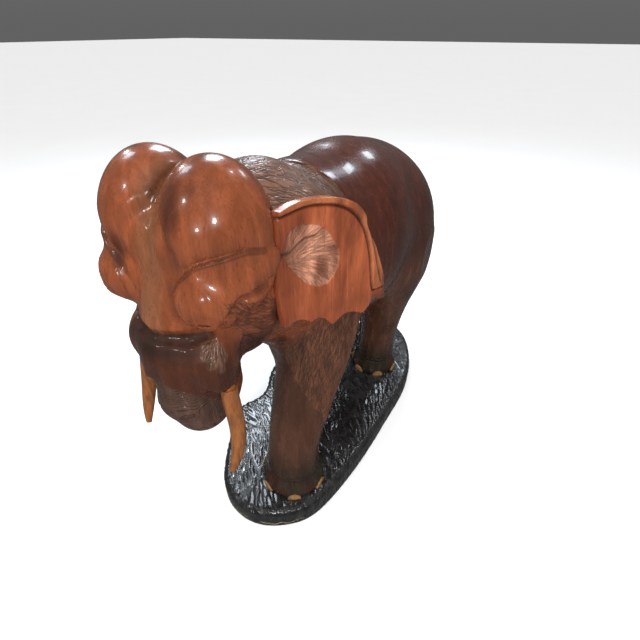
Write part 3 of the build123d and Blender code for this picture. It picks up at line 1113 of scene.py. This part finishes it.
def ear_surface():
    """Points, triangles and attributes of the left ear."""
    low, high = node_box("left_ear")
    low = np.array((min(low[0], 70.0), low[1], low[2]))
    points, triangles = sculpted(ear_shape, low, high, EAR_VOXEL, ear_detail)
    normals = point_normals(points, triangles)
    p = points.astype(np.float32)
    share, flow = ear_hair(p)
    areas = point_areas(points, triangles)
    depth = hair_strokes(points, normals, areas, flow, share, 1.5, 22.0, 0.75, 77, 0.1)
    onto, groove = ear_fold(p)
    outer = ear_outer(p)
    line = outer * np.exp(-((onto - 0.2) / 1.4) ** 2)
    split = outer * groove
    bowl = share * np.clip(1.0 - np.hypot(p[:, 1] + 182.0, p[:, 2] - 527.0) / 40.0, 0.0, 1.0)
    parting = ear_parting(p)
    points = points - normals * (EAR_HAIR_CUT * depth + 2.5 * bowl + 1.6 * parting + share * 0.6)[:, None]
    points = np.clip(points, *node_box("left_ear"))
    # Painted shade on the outer face under the ear's curled lower rear scallop.
    hollow_shade = outer * step(p[:, 1], -80, -66) * fade(p[:, 2], 412, 432)
    darks = (0.6 * step(depth, 0.3, 0.95), 0.95 * line, 0.85 * split, 0.9 * parting, 0.5 * hollow_shade)
    return points, triangles, {"tone": ear_tone(p), "cut": np.max(darks, axis=0), "hair": share}


def ears():
    """Both ears, the right one a mirror image of the left."""
    points, triangles, attributes = ear_surface()
    left = make_object("left_ear_carved", points, triangles, attributes)
    mirrored = points * np.array((-1.0, 1.0, 1.0))
    right = make_object("right_ear_carved", mirrored, triangles[:, ::-1], attributes)
    return left, right


def remeshed(name, voxel):
    """Points and triangles of a CAD node's surface, evenly divided."""
    node = frame["nodes"][name]
    copy = bpy.data.objects.new("remeshed", node.data.copy())
    bpy.context.scene.collection.objects.link(copy)
    modifier = copy.modifiers.new("even", "REMESH")
    modifier.mode = "VOXEL"
    modifier.voxel_size = voxel * MM
    graph = bpy.context.evaluated_depsgraph_get()
    mesh = bpy.data.meshes.new_from_object(copy.evaluated_get(graph))
    mesh.calc_loop_triangles()
    points = np.empty(len(mesh.vertices) * 3, np.float32)
    mesh.vertices.foreach_get("co", points)
    triangles = np.empty(len(mesh.loop_triangles) * 3, np.int32)
    mesh.loop_triangles.foreach_get("vertices", triangles)
    bpy.data.objects.remove(copy, do_unlink=True)
    bpy.data.meshes.remove(mesh)
    return points.reshape(-1, 3).astype(np.float64) / MM, triangles.reshape(-1, 3).astype(np.int64)


def gouges(points, normals, areas, seed):
    """Depth of the gouge cuts: patches of short parallel strokes that cover the plinth."""
    low, high = points.min(0), points.max(0)
    random = np.random.default_rng(seed)
    columns, rows = ((high - low)[:2] / GOUGE_PATCH).astype(int) + 2
    shares = [
        (i + random.uniform(-0.4, 0.4), j + random.uniform(-0.4, 0.4))
        for i in range(columns) for j in range(rows)
    ]
    seeds = low[:2] + np.array(shares) * GOUGE_PATCH
    angles = np.radians(random.normal(-46.0, 13.0, len(seeds)) + 180.0 * (random.random(len(seeds)) < 0.5))
    above = normals[:, 2] > -0.2
    picked = spread(points[above], areas[above] / GOUGE_SPACE, seed + 1)
    centres, ups = points[above][picked], normals[above][picked]
    distance = np.hypot(centres[:, None, 0] - seeds[None, :, 0], centres[:, None, 1] - seeds[None, :, 1])
    angle = angles[distance.argmin(1)] + random.normal(0.0, 0.07, len(picked))
    lines = np.stack([np.cos(angle), np.sin(angle), np.zeros(len(angle))], 1)
    lines[np.abs(ups[:, 2]) < 0.45] = GOUGE_ON_WALL
    lines = tangent(lines, ups)
    lengths = GOUGE_LENGTH * random.uniform(0.75, 1.2, len(picked))
    widths = GOUGE_HALF_WIDTH * random.uniform(0.8, 1.15, len(picked))
    bends = random.normal(0.0, 0.006, len(picked))
    return stroke_depth(points, centres, lines, ups, lengths, widths, bends, slanted_chip)


def plinth():
    """The rock-shaped plinth, covered with gouge cuts."""
    points, triangles = remeshed("base", PLINTH_VOXEL)
    triangles = outward(points, triangles)
    low, high = node_box("base")
    points, triangles = refine(points, triangles, points[triangles].mean(1)[:, 2] > low[2] + 3.0)
    normals = point_normals(points, triangles)
    p = points.astype(np.float32)
    foot_rise = step(p[:, 2], low[2] + 1, low[2] + 4)
    cover = np.ones(len(p), np.float32)
    for name in LEGS:
        cover *= step(away_from_foot(p, name), foot_radius(name) * 0.8, foot_radius(name) * 0.95)
    depth = gouges(points, normals, point_areas(points, triangles), 81) * foot_rise * cover
    lump = (0.5 + 0.5 * noise(p, (44, 44, 60), 82)) * 2.2 * step(-normals[:, 2] + 0.8, 0, 0.9)
    left = step(-p[:, 0], 60, 110)
    lump += left * 1.8 * (0.5 + 0.5 * np.sin(p[:, 1] / 15.0 * 2.0 * math.pi + 1.2 * noise(p, 30, 83)))
    lump *= foot_rise * cover
    worn = worn_line(p, low)
    points = points - normals * (GOUGE_CUT * depth + 0.6 * lump)[:, None]
    points = np.clip(points, low, high)
    return make_object("plinth_carved", points, triangles, {"cut": depth, "worn": worn})


def worn_line(p, low):
    """1 on the thin wavy line near the foot of the front edge where the stain has worn off."""
    around = np.arctan2(p[:, 0], -(p[:, 1] + 60.0))
    height = low[2] + 9.0 + 2.2 * np.sin(around * 34.0) + 1.5 * noise(p, (9, 9, 40), 84)
    front = step(-p[:, 1], 150, 205)
    patchy = step(noise(p, 26, 85), -0.5, 0.2)
    return np.exp(-((p[:, 2] - height) / 1.1) ** 2) * front * patchy


# --- Materials ---

class Nodes:
    """Short calls for building one material's node tree."""

    def __init__(self, name):
        self.material = bpy.data.materials.new(name)
        self.material.use_nodes = True
        self.tree = self.material.node_tree
        self.shader = self.tree.nodes["Principled BSDF"]

    def add(self, kind, **settings):
        """A node with its settings."""
        node = self.tree.nodes.new(kind)
        for key, value in settings.items():
            setattr(node, key, value)
        return node

    def link(self, source, target):
        """A number, a colour or another node's output into one input."""
        if isinstance(source, (int, float, tuple)):
            target.default_value = source
        else:
            self.tree.links.new(source, target)

    def attribute(self, name, output="Fac"):
        """A mesh attribute's output."""
        return self.add("ShaderNodeAttribute", attribute_name=name).outputs[output]

    def place(self, stretch):
        """Object coordinates, multiplied along each axis."""
        scale = self.add("ShaderNodeVectorMath", operation="MULTIPLY")
        self.link(self.add("ShaderNodeTexCoord").outputs["Object"], scale.inputs[0])
        scale.inputs[1].default_value = stretch
        return scale.outputs[0]

    def noise(self, stretch, detail=4.0, rough=0.55, twist=0.0):
        """Noise from 0 to 1, its features as large as 1 / stretch metres."""
        node = self.add("ShaderNodeTexNoise")
        self.link(self.place(stretch), node.inputs["Vector"])
        node.inputs["Scale"].default_value = 1.0
        node.inputs["Detail"].default_value = detail
        node.inputs["Roughness"].default_value = rough
        node.inputs["Distortion"].default_value = twist
        return node.outputs["Fac"]

    def remap(self, value, low, high, to_low, to_high):
        """A value's range turned into another, held at its ends."""
        node = self.add("ShaderNodeMapRange", interpolation_type="SMOOTHSTEP")
        self.link(value, node.inputs["Value"])
        for socket, number in zip(node.inputs[1:5], (low, high, to_low, to_high)):
            socket.default_value = number
        return node.outputs["Result"]

    def maths(self, operation, a, b):
        """Two values, or a value and a number, combined."""
        node = self.add("ShaderNodeMath", operation=operation)
        self.link(a, node.inputs[0])
        self.link(b, node.inputs[1])
        return node.outputs[0]

    def blend(self, a, b, share, kind="MIX"):
        """Two colours mixed by a share."""
        node = self.add("ShaderNodeMix", data_type="RGBA", blend_type=kind)
        for socket, value in zip((node.inputs[0], node.inputs[6], node.inputs[7]), (share, a, b)):
            self.link(value, socket)
        return node.outputs[2]

    def bump(self, height, distance, strength=1.0):
        """Bump from a height between 0 and 1, in metres at its highest."""
        node = self.add("ShaderNodeBump")
        node.inputs["Strength"].default_value = strength
        node.inputs["Distance"].default_value = distance
        self.link(height, node.inputs["Height"])
        self.link(node.outputs[0], self.shader.inputs["Normal"])

    def finish(self, colour, roughness, coat=0.0, coat_roughness=0.05, specular=0.5):
        """The shader's inputs."""
        self.link(colour, self.shader.inputs["Base Color"])
        self.link(roughness, self.shader.inputs["Roughness"])
        self.shader.inputs["Coat Weight"].default_value = coat
        self.shader.inputs["Coat Roughness"].default_value = coat_roughness
        self.shader.inputs["Specular IOR Level"].default_value = specular
        return self.material


def colour(values):
    """A linear colour as a shader colour."""
    return (float(values[0]), float(values[1]), float(values[2]), 1.0)


def grain(nodes, along=9.0):
    """Fine wood grain from 0 to 1 that runs upright, and its broad figure."""
    fine = nodes.noise((620.0, 620.0, along * 2.2), 3.0, 0.6)
    broad = nodes.noise((70.0, 70.0, along), 5.0, 0.6, 0.6)
    return fine, broad


def carved_wood(name):
    """Polished hardwood that is darker and duller where it is carved, with painted shade in some creases
    and under the cheeks.
    """
    nodes = Nodes(name)
    fine, broad = grain(nodes)
    tone = nodes.attribute("tone", "Color")
    figure = nodes.remap(broad, 0.3, 0.75, 0.76, 1.18)
    lines = nodes.remap(fine, 0.3, 0.7, 0.88, 1.07)
    factor = nodes.maths("MULTIPLY", figure, lines)
    combine = nodes.add("ShaderNodeCombineColor")
    for socket in combine.inputs:
        nodes.link(factor, socket)
    wood = nodes.blend(tone, combine.outputs[0], 1.0, "MULTIPLY")
    pores = nodes.noise((900.0, 900.0, 60.0), 2.0, 0.5)
    pore = nodes.remap(pores, 0.62, 0.7, 0.0, 0.5)
    wood = nodes.blend(wood, colour(PORE_GROOVE_AND_SHADE_DARK), pore)
    # Darker in the carved grooves; the cut attribute also carries painted shade in the brow and cheek
    # creases and under the ear's curled lower scallop.
    wood = nodes.blend(wood, colour(PORE_GROOVE_AND_SHADE_DARK), nodes.maths("MULTIPLY", nodes.attribute("cut"), 0.82))
    hair = nodes.attribute("hair")
    uneven = nodes.remap(broad, 0.3, 0.7, -0.03, 0.05)
    rough = nodes.maths("ADD", nodes.remap(hair, 0.0, 2.0, 0.24, 0.62), uneven)
    nodes.bump(fine, 0.00006, 0.5)
    return nodes.finish(wood, rough, 0.3, 0.06, 0.3)


def black_wood():
    """Black-stained, glossy wood of the plinth."""
    nodes = Nodes("black_wood")
    fine, broad = grain(nodes)
    base = nodes.blend(colour(STAIN_BLACK), colour(STAIN_GREY), nodes.remap(broad, 0.35, 0.7, 0.0, 1.0))
    base = nodes.blend(base, colour(STAIN_DEEP), nodes.maths("MULTIPLY", nodes.attribute("cut"), 0.7))
    base = nodes.blend(base, colour(BARE_WOOD), nodes.maths("MULTIPLY", nodes.attribute("worn"), 0.85))
    rough = nodes.remap(broad, 0.3, 0.7, 0.2, 0.34)
    nodes.bump(fine, 0.00008, 0.5)
    return nodes.finish(base, rough, 0.6, 0.08)


def plain_wood(name, pale, deep, along, dirt=None):
    """Polished wood of a let-in piece, with streaks along its grain."""
    nodes = Nodes(name)
    streak = nodes.noise((260.0, 260.0, along), 4.0, 0.6, 0.3)
    fine = nodes.noise((900.0, 900.0, along * 3.0), 2.0, 0.5)
    base = nodes.blend(colour(pale), colour(deep), nodes.remap(streak, 0.3, 0.72, 0.0, 1.0))
    base = nodes.blend(base, colour(deep * 0.6), nodes.remap(fine, 0.58, 0.75, 0.0, 0.5))
    if dirt is not None:
        blotch = nodes.noise((120.0, 120.0, 120.0), 3.0, 0.6)
        base = nodes.blend(base, colour(dirt), nodes.remap(blotch, 0.5, 0.68, 0.0, 0.7))
    nodes.bump(fine, 0.00005, 0.4)
    return nodes.finish(base, nodes.remap(streak, 0.2, 0.8, 0.24, 0.38), 0.5, 0.1)


def eye_glass():
    """Polished near-black bead with a brown depth."""
    nodes = Nodes("eye_bead")
    spots = nodes.noise((400.0, 400.0, 400.0), 2.0, 0.5)
    base = nodes.blend(colour(EYE_BLACK), colour(EYE_BROWN), nodes.remap(spots, 0.4, 0.7, 0.0, 1.0))
    return nodes.finish(base, 0.12, 0.8, 0.03)


def dress(node_names, material):
    """Gives CAD nodes that stay visible their material."""
    for name in node_names:
        data = frame["nodes"][name].data
        data.materials.clear()
        data.materials.append(material)
        frame["nodes"][name].data.shade_smooth()


# --- Stage, light and camera ---

def floor():
    """A plain pale floor under the plinth."""
    half = 30.0
    square = [(-half, -half, 0.0), (half, -half, 0.0), (half, half, 0.0), (-half, half, 0.0)]
    mesh = bpy.data.meshes.new("floor")
    mesh.from_pydata(square, [], [(0, 1, 2, 3)])
    made = bpy.data.objects.new("floor", mesh)
    bpy.context.scene.collection.objects.link(made)
    nodes = Nodes("floor_paint")
    cloud = nodes.noise((3.0, 3.0, 3.0), 2.0, 0.5)
    paint = nodes.blend((0.86, 0.86, 0.86, 1.0), (0.89, 0.89, 0.89, 1.0), cloud)
    mesh.materials.append(nodes.finish(paint, 0.9, specular=0.1))
    made.visible_glossy = False


def aimed(made, target):
    """Turns a lamp or camera to face a point."""
    direction = Vector(target) - made.location
    made.rotation_euler = direction.to_track_quat("-Z", "Y").to_euler()


def lamp(name, place, target, size, power, tint, mirrored=True):
    """One soft rectangular or round lamp, which polished wood mirrors unless told not to."""
    data = bpy.data.lights.new(name, "AREA")
    data.shape = "DISK" if len(size) == 1 else "RECTANGLE"
    data.size = size[0]
    if len(size) == 2:
        data.size_y = size[1]
    data.energy = power
    data.color = tint
    made = bpy.data.objects.new(name, data)
    made.location = place
    made.visible_glossy = mirrored
    bpy.context.scene.collection.objects.link(made)
    aimed(made, target)


def sky(place, strength):
    """Wide soft light from far above, which lights the floor evenly and is not mirrored."""
    data = bpy.data.lights.new("sky", "SUN")
    data.energy = strength
    data.angle = math.radians(50.0)
    made = bpy.data.objects.new("sky", data)
    made.location = place
    made.visible_glossy = False
    bpy.context.scene.collection.objects.link(made)
    aimed(made, (0.0, 0.0, 0.0))


def world(horizon, zenith):
    """Dim light from all round, brighter towards the zenith."""
    made = bpy.data.worlds.new("studio")
    made.use_nodes = True
    tree = made.node_tree
    background = tree.nodes["Background"]
    background.inputs["Color"].default_value = (1.0, 1.0, 1.0, 1.0)
    place = tree.nodes.new("ShaderNodeTexCoord")
    split = tree.nodes.new("ShaderNodeSeparateXYZ")
    rise = tree.nodes.new("ShaderNodeMapRange")
    rise.inputs["From Min"].default_value = 0.0
    rise.inputs["From Max"].default_value = 0.9
    rise.inputs["To Min"].default_value = horizon
    rise.inputs["To Max"].default_value = zenith
    tree.links.new(place.outputs["Generated"], split.inputs[0])
    tree.links.new(split.outputs["Z"], rise.inputs["Value"])
    tree.links.new(rise.outputs["Result"], background.inputs["Strength"])
    bpy.context.scene.world = made


def camera():
    """The camera at the photograph's viewing angle: close, from above the left foreleg."""
    data = bpy.data.cameras.new("camera")
    data.sensor_width = 36.0
    data.lens = 21.375
    data.shift_x = 0.0156
    data.shift_y = 0.0078
    data.clip_start = 0.01
    made = bpy.data.objects.new("camera", data)
    forward = Vector((-0.394, 0.682, -0.616))
    made.location = (0.272, -0.468, 0.700)
    made.rotation_euler = forward.to_track_quat("-Z", "Y").to_euler()
    bpy.context.scene.collection.objects.link(made)
    bpy.context.scene.camera = made


def place_piece(piece, node, material):
    """Puts a piece in the place of a CAD node."""
    piece.data.materials.append(material)
    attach(piece, "root")
    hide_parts(node)


def main():
    """The whole scene."""
    body_wood = carved_wood("body_wood")
    ear_wood = carved_wood("ear_wood")
    place_piece(elephant(), "body", body_wood)
    left, right = ears()
    place_piece(left, "left_ear", ear_wood)
    place_piece(right, "right_ear", ear_wood)
    place_piece(plinth(), "base", black_wood())
    tusk_wood = plain_wood("tusk_wood", TUSK_PALE, TUSK_DEEP, 22.0)
    dress(("left_tusk", "right_tusk"), tusk_wood)
    dress(("left_eye", "right_eye"), eye_glass())
    nail_wood = plain_wood("nail_wood", NAIL_PALE, NAIL_DEEP, 60.0, NAIL_DIRT)
    dress([f"toenail_{name}_{index}" for name in LEGS for index in range(1, 5)], nail_wood)
    dowel_wood = plain_wood("dowel_wood", DOWEL_PALE, DOWEL_DEEP, 40.0)
    dress(["dowel_" + name for name in LEGS], dowel_wood)
    floor()
    world(0.12, 0.28)
    sky((0.4, -0.8, 2.0), 2.6)
    lamp("key", *KEY, WHITE, mirrored=False)
    for tint, kind, lamps in ((COOL, "window", WINDOWS), (WHITE, "spot", SPOTS)):
        for number, settings in enumerate(lamps, start=1):
            lamp(f"{kind}_{number}", *settings, tint)
    camera()
    bpy.context.scene.view_settings.view_transform = "Standard"


main()
